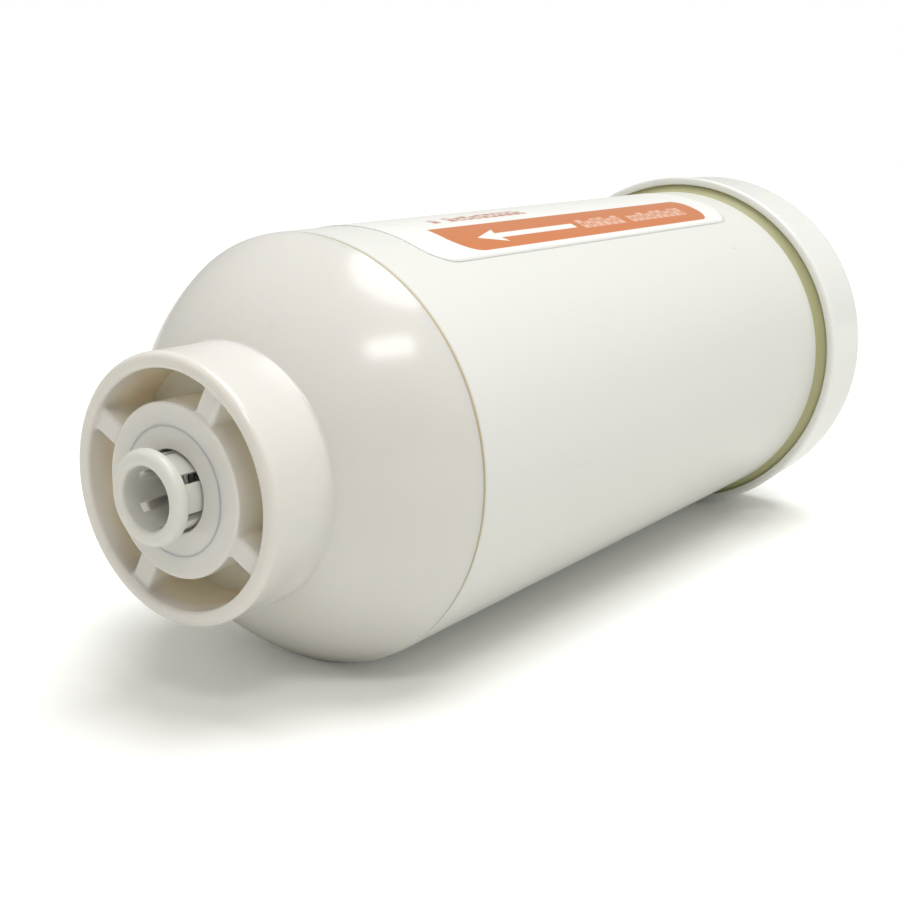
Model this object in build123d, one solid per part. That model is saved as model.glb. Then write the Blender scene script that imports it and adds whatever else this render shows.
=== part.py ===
"""Inline water filter with a push-fit tube port at each end, lying along X.

The outlet end is at -X and the inlet end at +X. Every part is turned about the X axis, so most sections
are drawn as (x, r) outlines. The outlines of the two ends are drawn from their own rim inwards, with s the
depth behind the rim, and then placed at -X or mirrored to +X.
"""

import os
from math import degrees, hypot, pi

from build123d import *

# Driving dimensions, in millimetres and degrees
RIM_TO_RIM = 139.0  # between the faces of the two port collars
TUBE_OD = 50.8  # two-inch housing
TUBE_WALL = 2.6
SEAM_S = 21.0  # joint between the domed cap and the tube, behind the outlet rim
TUBE_END_S = 122.0  # end of the tube in the inlet cap's channel, behind the outlet rim
TUBE_REGISTER_R = 25.1  # the tube's end is turned down, for the sealant and the channel
TUBE_REGISTER_S = 113.3
SEAM_BEVEL = 0.3
DOME_STEP = 0.05  # the dome's edge stands a hair below the tube
WELD_GAP = 0.05  # radial gap between a spigot and the tube

SUPPLY_TUBE_OD = 6.35  # quarter-inch tubing
PORT_BORE_R = 3.25

COLLAR_R = 14.75
COLLAR_ROOT_R = 14.6
COLLAR_BORE_R = 13.0
HUB_R = 9.5
HUB_FACE_S = 0.4
HUB_EDGE_RADIUS = 0.25
RIB_FACE_S = 0.7
RIB_THICKNESS = 2.7
RIB_FRONT_RADIUS = 0.5
RIB_ROOT_RADIUS = 0.5
RIB_ANGLES = [29.0 + 90 * k for k in range(4)]  # clockwise from the top, seen from the outlet end

SEAT_R = 7.0  # counterbore that holds the collet retainer
SEAT_DEPTH = 5.4
GLAND_R = 5.4
LEG_BORE_R = 5.5
SPACER_S = (8.2, 9.2)
GLAND_S = (9.2, 11.7)
TUBE_STOP_S = 16.2
FLOW_HOLE_R = 2.25
BOSS_R = 9.0

COLLET_FACE_S = -3.5  # stands out of the collar
COLLET_TIP_S = 6.6
COLLET_BORE_R = 3.45
COLLET_HEAD_R = 5.2
COLLET_HEAD_LENGTH = 1.5
COLLET_NECK_R = 4.15
COLLET_BARB_R = 5.3
COLLET_BARB_S = 4.9  # end of the barb's 45-degree slope
COLLET_SLOTS = 6
COLLET_SLOT_WIDTH = 1.1
COLLET_SLOT_S = -1.3
COLLET_SLOT_ANGLE = -2.0
RETAINER_HOLE_R = 4.5
SEAL_BORE_R = 3.05
TOOTH_S = 5.35
TOOTH_THICKNESS = 0.25
TOOTH_TIP_R = 3.05
TOOTH_ROOT_R = 4.35
TOOTH_WIDTH = 1.9
TOOTH_LEAN = 18.0

CAP_LIP_S = 114.8  # inlet cap's skirt starts here, behind the outlet rim
CAP_LIP_R = 27.8
CAP_BACK_R = 27.3
CAP_FACE_S = 129.0
CAP_GROOVE_R = 26.5
CAP_GROOVE_END_S = 119.8
SEALANT_LIP_S = 115.3  # where the sealant meets the inside of the skirt

BLOCK_S = (30.5, 111.5)
BLOCK_R = 17.9
BLOCK_BORE_R = 6.0
WRAP_R = 18.9
NET_R = 19.4
BLOCK_CAP_R = 20.2
NIPPLE_R = 5.85
NIPPLE_BORE_R = 3.5
NIPPLE_SEAT_R = 6.05

LABEL_S = (29.8, 106.5)
LABEL_ANGLES = (-158.8, 31.2)  # clockwise from the top, seen from the outlet end
LABEL_THICKNESS = 0.1
LABEL_CORNER = 4.0

# Worked out from the driving dimensions
TUBE_R = TUBE_OD / 2
TUBE_BORE_R = TUBE_R - TUBE_WALL
SPIGOT_R = TUBE_BORE_R - WELD_GAP
SPIGOT_BORE_R = SPIGOT_R - 1.85
RIM_X = RIM_TO_RIM / 2


def at(s):
    """X of a depth s behind the outlet rim."""
    return s - RIM_X


def turned(points):
    """A solid of revolution about X from a list of (x, r) corners."""
    return turned_face(make_face(Polyline(*points, close=True)))


def rounded(points, radii):
    """A face with (x, r) corners, where radii maps a corner's index to its fillet radius."""
    face = make_face(Polyline(*points, close=True))
    for index, radius in radii.items():
        corner = face.vertices().sort_by_distance(Vector(*points[index], 0))[0]
        face = fillet(corner, radius)
    return face


def turned_face(face):
    return revolve(Plane.XZ * face, Axis.X, 360)


def ring(s0, s1, r0, r1, chamfer_by=0.0):
    """A plain ring from depth s0 to s1 and radius r0 to r1, with its outer edges chamfered."""
    c = chamfer_by
    if not c:
        return turned([(at(s0), r0), (at(s1), r0), (at(s1), r1), (at(s0), r1)])
    return turned(
        [(at(s0), r0), (at(s1), r0), (at(s1), r1 - c), (at(s1 - c), r1), (at(s0 + c), r1), (at(s0), r1 - c)]
    )


def around(shape, angles):
    """Copies of a shape that points to +Z, turned about X to each angle, clockwise seen from the outlet."""
    return [Rot(X=angle) * shape for angle in angles]


def to_inlet(shape):
    """The same shape at the inlet end."""
    return mirror(shape, Plane.YZ)


def o_ring(s, r_inner, section):
    """A round-section ring centred at depth s."""
    return turned_face(Pos(at(s), r_inner + section / 2) * Circle(section / 2))


# ---------------------------------------------------------------- end fitting shared by both ends


def fitting_bore():
    """The stepped hole down the hub, from the rim to behind the tube stop."""
    steps = [
        (HUB_FACE_S - 1.0, SEAT_DEPTH, SEAT_R),
        (SEAT_DEPTH - 0.1, GLAND_S[0], LEG_BORE_R),
        (GLAND_S[0] - 0.1, GLAND_S[1], GLAND_R),
        (GLAND_S[1] - 0.1, TUBE_STOP_S, PORT_BORE_R),
        (TUBE_STOP_S - 0.1, TUBE_STOP_S + 3.0, FLOW_HOLE_R),
    ]
    hole = ring(steps[0][0], steps[0][1], 0.0, steps[0][2])
    for s0, s1, r in steps[1:]:
        hole += ring(s0, s1, 0.0, r)
    return hole


def hub(floor_s):
    """The central hub in front of the pocket floor, with a softened front edge."""
    corners = [(at(HUB_FACE_S), 0), (at(floor_s), 0), (at(floor_s), HUB_R), (at(HUB_FACE_S), HUB_R)]
    return turned_face(rounded(corners, {3: HUB_EDGE_RADIUS}))


def collar(root_s):
    """The guard ring round the hub, with a rounded rim."""
    corners = [
        (at(0), COLLAR_BORE_R),
        (at(root_s), COLLAR_BORE_R),
        (at(root_s), COLLAR_ROOT_R),
        (at(0), COLLAR_R),
    ]
    return turned_face(rounded(corners, {3: 0.85, 0: 0.5}))


def ribs(floor_s, angles):
    """Webs that tie the collar to the hub."""
    length = floor_s - RIB_FACE_S
    middle_r = (HUB_R + COLLAR_BORE_R) / 2
    web = Box(length, RIB_THICKNESS, COLLAR_BORE_R - HUB_R + 1.0)
    web = fillet(web.edges().filter_by(Axis.Z).group_by(Axis.X)[0], RIB_FRONT_RADIUS)
    web = Pos(at(RIB_FACE_S + length / 2), 0, middle_r) * web
    return around(web, angles)


def blend_ribs(body, side, floor_x):
    """Moulded radii where the ribs meet the hub and the collar; side is -1 at the outlet, 1 at the inlet."""
    face_x = side * (RIM_X - RIB_FACE_S)
    shallow, deep = sorted((abs(face_x), abs(floor_x)), reverse=True)

    def is_rib_root(edge):
        points = [edge @ u for u in (0, 0.5, 1)]
        depths = [side * point.X for point in points]
        if max(depths) > shallow + 0.01 or min(depths) < deep - 0.01 or max(depths) < deep + 0.01:
            return False
        radii = [hypot(point.Y, point.Z) for point in points]
        return any(max(abs(r - wall) for r in radii) < 0.02 for wall in (HUB_R, COLLAR_BORE_R))

    return fillet(body.edges().filter_by(is_rib_root), RIB_ROOT_RADIUS)


def collet(turn):
    """The release collet: a flanged sleeve whose slotted legs carry a barb and the grip teeth."""
    s_head = COLLET_FACE_S + COLLET_HEAD_LENGTH
    corners = [
        (at(COLLET_FACE_S), COLLET_BORE_R),
        (at(COLLET_FACE_S), COLLET_HEAD_R),
        (at(s_head), COLLET_HEAD_R),
        (at(s_head), COLLET_NECK_R),
        (at(COLLET_BARB_S - COLLET_BARB_R + COLLET_NECK_R), COLLET_NECK_R),
        (at(COLLET_BARB_S), COLLET_BARB_R),
        (at(COLLET_BARB_S + 1.1), COLLET_BARB_R),
        (at(COLLET_TIP_S), 4.7),
        (at(COLLET_TIP_S), COLLET_BORE_R),
    ]
    sleeve = turned_face(rounded(corners, {0: 0.5, 1: 0.9, 2: 0.4, 3: 0.35}))
    slot_length = COLLET_TIP_S - COLLET_SLOT_S + 1.0
    slot = Pos(at(COLLET_SLOT_S + slot_length / 2), 0, 4.5) * Box(slot_length, COLLET_SLOT_WIDTH, 4.0)
    pitch = 360 / COLLET_SLOTS
    for cut in around(slot, [turn + pitch * k for k in range(COLLET_SLOTS)]):
        sleeve -= cut
    return sleeve - grip_teeth(turn)


def grip_teeth(turn):
    """One sprung steel tooth for each collet leg, leaning in towards the tube stop."""
    blade = Box(TOOTH_THICKNESS, TOOTH_WIDTH, TOOTH_ROOT_R - TOOTH_TIP_R + 1.0)
    blade = Pos(at(TOOTH_S), 0, (TOOTH_ROOT_R + TOOTH_TIP_R) / 2) * (Rot(Y=-TOOTH_LEAN) * blade)
    band = ring(TOOTH_S - 1.5, TOOTH_S + 1.0, TOOTH_TIP_R, TOOTH_ROOT_R)
    pitch = 360 / COLLET_SLOTS
    angles = [turn + pitch * (k + 0.5) for k in range(COLLET_SLOTS)]
    return Compound(children=[tooth & band for tooth in around(blade, angles)])


def retainer():
    """The pressed-in bush whose cone stops the collet's barb from coming out."""
    cone_s = 4.96
    corners = [
        (at(HUB_FACE_S), RETAINER_HOLE_R),
        (at(HUB_FACE_S), SEAT_R),
        (at(SEAT_DEPTH), SEAT_R),
        (at(SEAT_DEPTH), LEG_BORE_R),
        (at(cone_s), LEG_BORE_R),
        (at(cone_s - LEG_BORE_R + RETAINER_HOLE_R), RETAINER_HOLE_R),
    ]
    return turned_face(rounded(corners, {0: 0.2}))


def spacer_ring():
    """The flat washer between the collet's legs and the tube seal."""
    return ring(*SPACER_S, SUPPLY_TUBE_OD / 2 + 0.2, LEG_BORE_R - 0.1, chamfer_by=0.15)


def tube_o_ring():
    """The seal that grips the supply tube, a little smaller inside than the tube."""
    section = GLAND_R - SEAL_BORE_R
    return o_ring(GLAND_S[0] + section / 2, SEAL_BORE_R, section)


# ---------------------------------------------------------------- casing


def collar_root(body, x):
    """The edge where the outside of a collar meets its cap, near a given x."""
    around_collar = 2 * pi * COLLAR_ROOT_R
    edges = body.edges().filter_by(lambda edge: abs(edge.length - around_collar) < 1.5)
    return edges.sort_by(lambda edge: abs(edge.center().X - x))[0]


def dome_arc(s0, r0, s1, r1, bulge):
    """A shallow arc between two (s, r) points that stands out from its chord by bulge."""
    chord = Vector(s1 - s0, r1 - r0)
    out = Vector(-chord.Y, chord.X).normalized()
    middle = Vector((s0 + s1) / 2, (r0 + r1) / 2) + out * bulge
    return ThreePointArc((at(s0), r0), (at(middle.X), middle.Y), (at(s1), r1))


def outlet_cap():
    """The domed end cap: collar, hub, dome, spigot inside the tube, and boss for the core's nipple."""
    root_s, floor_s, inner_s = 9.0, 8.0, 10.8
    spigot_end_s, boss_end_s = 27.5, 26.0
    outer = dome_arc(root_s, COLLAR_ROOT_R - 0.2, SEAM_S - SEAM_BEVEL, TUBE_R - DOME_STEP, 1.1)
    inner = dome_arc(inner_s, 12.6, 20.4, SPIGOT_BORE_R, 0.7)
    spigot = Polyline(
        outer @ 1,
        (at(SEAM_S), TUBE_R - SEAM_BEVEL),
        (at(SEAM_S), SPIGOT_R),
        (at(spigot_end_s - 0.5), SPIGOT_R),
        (at(spigot_end_s), SPIGOT_R - 0.5),
        (at(spigot_end_s), SPIGOT_BORE_R),
        inner @ 1,
    )
    floor = Polyline(inner @ 0, (at(inner_s), 0), (at(floor_s), 0), (at(floor_s), 14.0), outer @ 0)
    shell = turned_face(make_face(outer.edges() + spigot.edges() + inner.edges() + floor.edges()))
    boss = ring(inner_s - 1.0, boss_end_s, 0, BOSS_R, chamfer_by=0.4)
    body = shell + hub(floor_s + 0.5) + collar(root_s + 0.5) + boss
    for web in ribs(floor_s + 0.5, RIB_ANGLES):
        body += web
    body = blend_ribs(body, -1, at(floor_s))
    nipple_seat = ring(TUBE_STOP_S + 2.0, boss_end_s + 1.0, 0, NIPPLE_SEAT_R)
    lead_in = Pos(at(boss_end_s), 0, 0) * Rot(Y=-90) * Cone(NIPPLE_SEAT_R + 0.6, NIPPLE_SEAT_R, 0.6)
    body -= fitting_bore()
    body -= nipple_seat
    body -= lead_in
    return fillet(collar_root(body, at(root_s)), 0.5)


def inlet_cap():
    """The flat end cap: collar, hub, plate, the skirt outside the tube and the spigot inside it."""
    spigot_start_s = 115.0
    plate_s = 126.0
    floor_s = RIM_TO_RIM - CAP_FACE_S  # pocket floor, counted from this end's own rim
    corners = [
        (at(CAP_LIP_S), CAP_GROOVE_R),
        (at(CAP_LIP_S), CAP_LIP_R),
        (at(CAP_FACE_S), CAP_BACK_R),
        (at(CAP_FACE_S), 0),
        (at(plate_s), 0),
        (at(plate_s), SPIGOT_BORE_R),
        (at(spigot_start_s), SPIGOT_BORE_R),
        (at(spigot_start_s), SPIGOT_R - 0.5),
        (at(spigot_start_s + 0.5), SPIGOT_R),
        (at(TUBE_END_S), SPIGOT_R),
        (at(TUBE_END_S), TUBE_REGISTER_R + WELD_GAP),
        (at(CAP_GROOVE_END_S), TUBE_REGISTER_R + WELD_GAP),
        (at(CAP_GROOVE_END_S), CAP_GROOVE_R),
    ]
    body = turned_face(rounded(corners, {2: 2.5, 1: 0.5, 0: 0.3}))
    boss = ring(RIM_TO_RIM - TUBE_STOP_S - 2.0, plate_s + 1.0, 0, BOSS_R, chamfer_by=0.4)
    body = body + boss + to_inlet(hub(floor_s + 0.5)) + to_inlet(collar(floor_s + 0.5))
    for web in ribs(floor_s + 0.5, RIB_ANGLES):
        body += to_inlet(web)
    body = blend_ribs(body, 1, at(CAP_FACE_S))
    body -= to_inlet(fitting_bore())
    return fillet(collar_root(body, at(CAP_FACE_S)), 0.5)


def housing_tube():
    """The pressure tube, with a small bevel that leaves a fine line at the domed cap's joint."""
    return turned(
        [
            (at(SEAM_S), TUBE_BORE_R),
            (at(SEAM_S), TUBE_R - SEAM_BEVEL),
            (at(SEAM_S + SEAM_BEVEL), TUBE_R),
            (at(TUBE_REGISTER_S), TUBE_R),
            (at(TUBE_REGISTER_S), TUBE_REGISTER_R),
            (at(TUBE_END_S), TUBE_REGISTER_R),
            (at(TUBE_END_S), TUBE_BORE_R),
        ]
    )


def outlet_weld_bead():
    """The thin line of weld flash in the V between the domed cap and the tube, with a rounded top."""
    below = 0.12  # edges of the bead, under the tube's surface
    on_dome = SEAM_BEVEL * (SEAM_BEVEL - below) / (SEAM_BEVEL - DOME_STEP)
    top = ThreePointArc(
        (at(SEAM_S - on_dome), TUBE_R - below),
        (at(SEAM_S), TUBE_R - below / 2),
        (at(SEAM_S + SEAM_BEVEL - below), TUBE_R - below),
    )
    sides = Polyline(top @ 1, (at(SEAM_S), TUBE_R - SEAM_BEVEL), top @ 0)
    return turned_face(make_face(top.edges() + sides.edges()))


def inlet_weld_bead():
    """The bead of sealant that fills the groove under the inlet cap's skirt and spreads on to the tube."""
    hollow = 0.15
    middle_s = (SEALANT_LIP_S + TUBE_REGISTER_S) / 2
    middle_r = (TUBE_R + CAP_GROOVE_R) / 2
    face = ThreePointArc(
        (at(SEALANT_LIP_S), CAP_GROOVE_R),
        (at(middle_s + hollow), middle_r - hollow),
        (at(TUBE_REGISTER_S), TUBE_R),
    )
    back = Polyline(
        face @ 1,
        (at(TUBE_REGISTER_S), TUBE_REGISTER_R),
        (at(CAP_GROOVE_END_S), TUBE_REGISTER_R),
        (at(CAP_GROOVE_END_S), CAP_GROOVE_R),
        face @ 0,
    )
    return turned_face(make_face(face.edges() + back.edges()))


def label():
    """The adhesive label: a thin skin on the tube with rounded corners."""
    length = LABEL_S[1] - LABEL_S[0]
    first, last = LABEL_ANGLES
    section = [
        (at(LABEL_S[0]), TUBE_R),
        (at(LABEL_S[1]), TUBE_R),
        (at(LABEL_S[1]), TUBE_R + LABEL_THICKNESS),
        (at(LABEL_S[0]), TUBE_R + LABEL_THICKNESS),
    ]
    skin = revolve(Plane.XZ * make_face(Polyline(*section, close=True)), Axis.X, last - first)
    skin = Rot(X=first) * skin
    round_angle = degrees(LABEL_CORNER / TUBE_R)
    block = Pos(LABEL_CORNER, LABEL_CORNER, 0) * Box(2 * LABEL_CORNER, 2 * LABEL_CORNER, 4)
    waste = block - Cylinder(LABEL_CORNER, 6)
    for end, away in ((LABEL_S[0], -1), (LABEL_S[1], 1)):
        for angle, side in ((first, 1), (last, -1)):
            corner = waste
            if away < 0:
                corner = mirror(corner, Plane.YZ)
            if side < 0:
                corner = mirror(corner, Plane.XZ)
            centre = Pos(at(end) - away * LABEL_CORNER, 0, TUBE_R)
            skin -= Rot(X=angle + side * round_angle) * (centre * corner)
    return skin


# ---------------------------------------------------------------- filter core


def carbon_block():
    return ring(*BLOCK_S, BLOCK_BORE_R, BLOCK_R)


def prefilter_wrap():
    return ring(*BLOCK_S, BLOCK_R, WRAP_R)


def wrap_netting():
    return ring(*BLOCK_S, WRAP_R, NET_R)


def core_tube():
    """The perforated tube down the block's bore."""
    rows, holes_per_row, hole_r = 11, 4, 1.1
    body = ring(BLOCK_S[0], BLOCK_S[1], BLOCK_BORE_R - 1.0, BLOCK_BORE_R)
    pitch = (BLOCK_S[1] - BLOCK_S[0]) / rows
    half_turn = 180 / holes_per_row
    for row in range(rows):
        x = at(BLOCK_S[0] + pitch * (row + 0.5))
        for k in range(holes_per_row // 2):
            angle = (row % 2) * half_turn + 360 / holes_per_row * k
            body -= Rot(X=angle) * Pos(x, 0, 0) * Cylinder(hole_r, 3 * BLOCK_BORE_R)
    return body


def cup(disc_s, floor_s, lip_s, r_bore):
    """A shallow cup over one end of the block, from its disc face to its lip."""
    corners = [
        (at(disc_s), r_bore),
        (at(floor_s), r_bore),
        (at(floor_s), NET_R),
        (at(lip_s), NET_R),
        (at(lip_s), BLOCK_CAP_R),
        (at(disc_s), BLOCK_CAP_R),
    ]
    return turned_face(rounded(corners, {5: 0.8}))


def block_outlet_cap():
    """The open cap on the block, whose nipple seals in the outlet cap's boss."""
    disc_s, groove = BLOCK_S[0] - 2.5, (22.0, 23.9)
    body = cup(disc_s, BLOCK_S[0], BLOCK_S[0] + 4.0, NIPPLE_BORE_R)
    body += ring(19.4, disc_s + 0.5, NIPPLE_BORE_R, NIPPLE_R, chamfer_by=0.3)
    return body - ring(*groove, NIPPLE_R - 1.45, NIPPLE_R + 1.0)


def nipple_o_ring():
    section = NIPPLE_SEAT_R - (NIPPLE_R - 1.45) - 0.02
    return o_ring(22.95, NIPPLE_R - 1.45 + 0.01, section)


def block_inlet_cap():
    """The closed cap on the block, with feet that hold it off the inlet cap's plate."""
    disc_s, plate_s = BLOCK_S[1] + 2.5, 126.0
    body = cup(disc_s, BLOCK_S[1], BLOCK_S[1] - 4.0, 0.0)
    length = plate_s - disc_s + 0.5
    foot_inner_r, foot_outer_r = BOSS_R + 1.5, SPIGOT_BORE_R - 0.3
    foot = Box(length, 2.0, foot_outer_r - foot_inner_r)
    foot = Pos(at(disc_s - 0.5 + length / 2), 0, (foot_inner_r + foot_outer_r) / 2) * foot
    for web in around(foot, [45 + 90 * k for k in range(4)]):
        body += web
    return body


def parts():
    """Every sub-part by its node name."""
    made = {
        "housing_tube": housing_tube(),
        "outlet_end_cap": outlet_cap(),
        "inlet_end_cap": inlet_cap(),
        "outlet_weld_bead": outlet_weld_bead(),
        "inlet_weld_bead": inlet_weld_bead(),
        "label": label(),
        "carbon_block": carbon_block(),
        "prefilter_wrap": prefilter_wrap(),
        "wrap_netting": wrap_netting(),
        "core_tube": core_tube(),
        "block_outlet_cap": block_outlet_cap(),
        "block_inlet_cap": block_inlet_cap(),
        "nipple_o_ring": nipple_o_ring(),
    }
    fitting = {
        "collet": collet(COLLET_SLOT_ANGLE),
        "grip_teeth": grip_teeth(COLLET_SLOT_ANGLE),
        "collet_retainer": retainer(),
        "spacer_ring": spacer_ring(),
        "tube_o_ring": tube_o_ring(),
    }
    for name, shape in fitting.items():
        made["outlet_" + name] = shape
        made["inlet_" + name] = to_inlet(shape)
    return made


os.makedirs("parts", exist_ok=True)
for node, shape in parts().items():
    export_step(shape, f"parts/{node}.step")
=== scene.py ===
# %% [markdown]
# # An inline water filter in white plastic
#
# The filter is a two-inch tube between two moulded caps, with a push-fit port at each end.
# The design is already packed as a set of parts in metres, lying along X, outlet end at -X.
# Here the parts get their finishes, and the pieces whose look is more than a turned shape are made again:
# the printed label and the netting round the filter block. A floor, soft light and a camera complete it.

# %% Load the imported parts
from math import acos, asin, cos, pi, radians, sin, sqrt

import bmesh
import bpy
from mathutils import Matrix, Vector


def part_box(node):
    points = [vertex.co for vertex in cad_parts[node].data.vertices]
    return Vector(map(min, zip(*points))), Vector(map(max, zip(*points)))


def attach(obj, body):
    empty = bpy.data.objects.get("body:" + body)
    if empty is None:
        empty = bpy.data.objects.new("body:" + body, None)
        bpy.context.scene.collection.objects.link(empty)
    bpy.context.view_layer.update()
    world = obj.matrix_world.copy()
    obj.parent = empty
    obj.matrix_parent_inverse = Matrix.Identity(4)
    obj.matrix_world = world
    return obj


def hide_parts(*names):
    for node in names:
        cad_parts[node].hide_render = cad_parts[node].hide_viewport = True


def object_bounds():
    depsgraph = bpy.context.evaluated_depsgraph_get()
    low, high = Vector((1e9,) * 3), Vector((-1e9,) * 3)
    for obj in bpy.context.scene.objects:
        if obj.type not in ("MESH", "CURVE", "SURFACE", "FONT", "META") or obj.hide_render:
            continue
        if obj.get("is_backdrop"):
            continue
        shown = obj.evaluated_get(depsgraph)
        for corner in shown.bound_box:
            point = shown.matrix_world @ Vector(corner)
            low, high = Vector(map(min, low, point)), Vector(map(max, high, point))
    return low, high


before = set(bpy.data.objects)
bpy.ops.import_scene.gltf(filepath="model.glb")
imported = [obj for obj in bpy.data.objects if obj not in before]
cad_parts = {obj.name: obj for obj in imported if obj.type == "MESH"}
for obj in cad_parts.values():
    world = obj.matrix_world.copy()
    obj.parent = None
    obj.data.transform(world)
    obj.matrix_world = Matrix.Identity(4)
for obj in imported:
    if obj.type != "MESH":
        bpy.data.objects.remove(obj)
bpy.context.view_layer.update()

MM = 0.001

# %% [markdown]
# ## Measures taken from the parts
#
# Everything placed later starts from these. The tube gives the body's radius and where its joint line is,
# and the label's box gives where the sticker lies. A sticker that wraps past the side of the tube hides its
# edges' angles in that box: the near edge is the lowest y that it reaches, and the far edge the lowest z.

# %% Read the measures
tube_low, tube_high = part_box("housing_tube")
label_low, label_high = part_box("label")
net_low, net_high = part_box("wrap_netting")

TUBE_R = tube_high.z
WRAP_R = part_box("prefilter_wrap")[1].z
LABEL_R = label_high.z
LABEL_LENGTH = label_high.x - label_low.x
LABEL_NEAR = asin(-label_low.y / LABEL_R)
LABEL_FAR = -acos(label_low.z / LABEL_R)
LABEL_GIRTH = (LABEL_NEAR - LABEL_FAR) * LABEL_R
print("label in mm:", round(LABEL_LENGTH / MM, 1), "by", round(LABEL_GIRTH / MM, 1))

# %% [markdown]
# ## Small helpers for node trees
#
# A shader is a tree of nodes joined by links. These helpers keep each tree readable: `add` makes a node,
# sets its options, and fills its inputs with either a constant or another node's output; `maths` and
# `vectors` are `add` for the two kinds of Math node; `new_group` starts a reusable tree with named sockets.

# %% Helpers for nodes
MIX_FIRST, MIX_SECOND, MIX_RESULT = 6, 7, 2  # the colour sockets of a Mix node, whose names repeat


def fill(tree, socket, value):
    """Links another node's output into a socket, or sets it to a constant."""
    if isinstance(value, bpy.types.NodeSocket):
        tree.links.new(value, socket)
    else:
        socket.default_value = value


def add(tree, kind, inputs=None, **options):
    """Makes a node, with its options set and its inputs filled."""
    made = tree.nodes.new(kind)
    for name, value in options.items():
        setattr(made, name, value)
    for name, value in (inputs or {}).items():
        fill(tree, made.inputs[name], value)
    return made


def maths(tree, operation, *values):
    """The output of one Math node."""
    return add(tree, "ShaderNodeMath", dict(enumerate(values)), operation=operation).outputs[0]


def vectors(tree, operation, *values):
    """The vector output of one Vector Math node."""
    return add(tree, "ShaderNodeVectorMath", dict(enumerate(values)), operation=operation).outputs[0]


def mix_colours(tree, amount, first, second):
    """A colour between two others."""
    inputs = {0: amount, MIX_FIRST: first, MIX_SECOND: second}
    return add(tree, "ShaderNodeMix", inputs, data_type="RGBA").outputs[MIX_RESULT]


def mix_numbers(tree, amount, first, second):
    """A number between two others."""
    return add(tree, "ShaderNodeMix", {0: amount, 2: first, 3: second}, data_type="FLOAT").outputs[0]


def new_group(name, inputs, outputs, kind="ShaderNodeTree"):
    """Starts a node group. inputs are (name, socket type, default) and outputs are (name, socket type)."""
    group = bpy.data.node_groups.new(name, kind)
    for label, socket_type, default in inputs:
        socket = group.interface.new_socket(label, in_out="INPUT", socket_type="NodeSocket" + socket_type)
        if default is not None:
            socket.default_value = default
    for label, socket_type in outputs:
        group.interface.new_socket(label, in_out="OUTPUT", socket_type="NodeSocket" + socket_type)
    return group, group.nodes.new("NodeGroupInput").outputs, group.nodes.new("NodeGroupOutput").inputs


# %% [markdown]
# ## Effects that several materials share
#
# ### A moulded or cast surface
#
# No plastic part is one flat colour. The melt leaves slow, weak patches of tone, and the mould's own polish
# leaves a fine orange peel that breaks up reflections. Both are noise on the object's own coordinates: a
# large one mixes two close colours and shifts the roughness, and a small one drives a bump a few microns
# high.

# %% The moulded surface group
moulded, given, out = new_group(
    "moulded_surface",
    [
        ("Colour", "Color", (0.8, 0.8, 0.8, 1)),
        ("Patch Colour", "Color", (0.75, 0.75, 0.72, 1)),
        ("Patch Size", "Float", 12 * MM),
        ("Patches", "Float", 0.5),
        ("Grain Size", "Float", 0.4 * MM),
        ("Grain Height", "Float", 0.002 * MM),
        ("Roughness", "Float", 0.3),
        ("Roughness Spread", "Float", 0.05),
    ],
    [("Colour", "Color"), ("Roughness", "Float"), ("Normal", "Vector")],
)
here = add(moulded, "ShaderNodeTexCoord").outputs["Object"]
patch_scale = maths(moulded, "DIVIDE", 1.0, given["Patch Size"])
patches = add(moulded, "ShaderNodeTexNoise", {"Vector": here, "Scale": patch_scale, "Detail": 3.0})
patch_amount = maths(moulded, "MULTIPLY", patches.outputs["Fac"], given["Patches"])
fill(moulded, out["Colour"], mix_colours(moulded, patch_amount, given["Colour"], given["Patch Colour"]))
grain_scale = maths(moulded, "DIVIDE", 1.0, given["Grain Size"])
grain = add(moulded, "ShaderNodeTexNoise", {"Vector": here, "Scale": grain_scale, "Detail": 2.0})
swing = maths(moulded, "SUBTRACT", patches.outputs["Fac"], 0.5)
rough = maths(moulded, "MULTIPLY_ADD", swing, given["Roughness Spread"], given["Roughness"])
fill(moulded, out["Roughness"], rough)
peel = {"Height": grain.outputs["Fac"], "Distance": given["Grain Height"], "Strength": 1.0}
fill(moulded, out["Normal"], add(moulded, "ShaderNodeBump", peel).outputs["Normal"])
print("group:", moulded.name)

# %% [markdown]
# ### Lines drawn along the axis
#
# An extruded tube is pulled through a die, which leaves faint lines along its length. Noise whose
# coordinates are squeezed along X gives exactly that: nothing changes along the tube, and everything
# changes round it.

# %% The drawn lines group
drawn, given, out = new_group(
    "drawn_lines",
    [
        ("Line Size", "Float", 0.6 * MM),
        ("Along", "Float", 0.03),
        ("Height", "Float", 0.002 * MM),
        ("Normal", "Vector", None),
    ],
    [("Lines", "Float"), ("Normal", "Vector")],
)
here = add(drawn, "ShaderNodeTexCoord").outputs["Object"]
squeeze = add(drawn, "ShaderNodeCombineXYZ", {"X": given["Along"], "Y": 1.0, "Z": 1.0}).outputs[0]
line_scale = maths(drawn, "DIVIDE", 1.0, given["Line Size"])
line_noise = {"Vector": vectors(drawn, "MULTIPLY", here, squeeze), "Scale": line_scale, "Detail": 3.0}
lines = add(drawn, "ShaderNodeTexNoise", line_noise).outputs["Fac"]
fill(drawn, out["Lines"], lines)
ridge = {"Height": lines, "Distance": given["Height"], "Strength": 1.0, "Normal": given["Normal"]}
fill(drawn, out["Normal"], add(drawn, "ShaderNodeBump", ridge).outputs["Normal"])
print("group:", drawn.name)

# %% [markdown]
# ### Marks of handling
#
# White plastic shows what has touched it: faint dull rubs, and here and there a dark speck that was moulded
# in. A rub is a short bundle of fine lines in one direction, so it is the peaks of a noise that is
# stretched along a slanted line, kept to a few patches by a second, slower noise. Specks are the cores of a
# sparse cell pattern, thinned out again by a random value for each cell.

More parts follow.
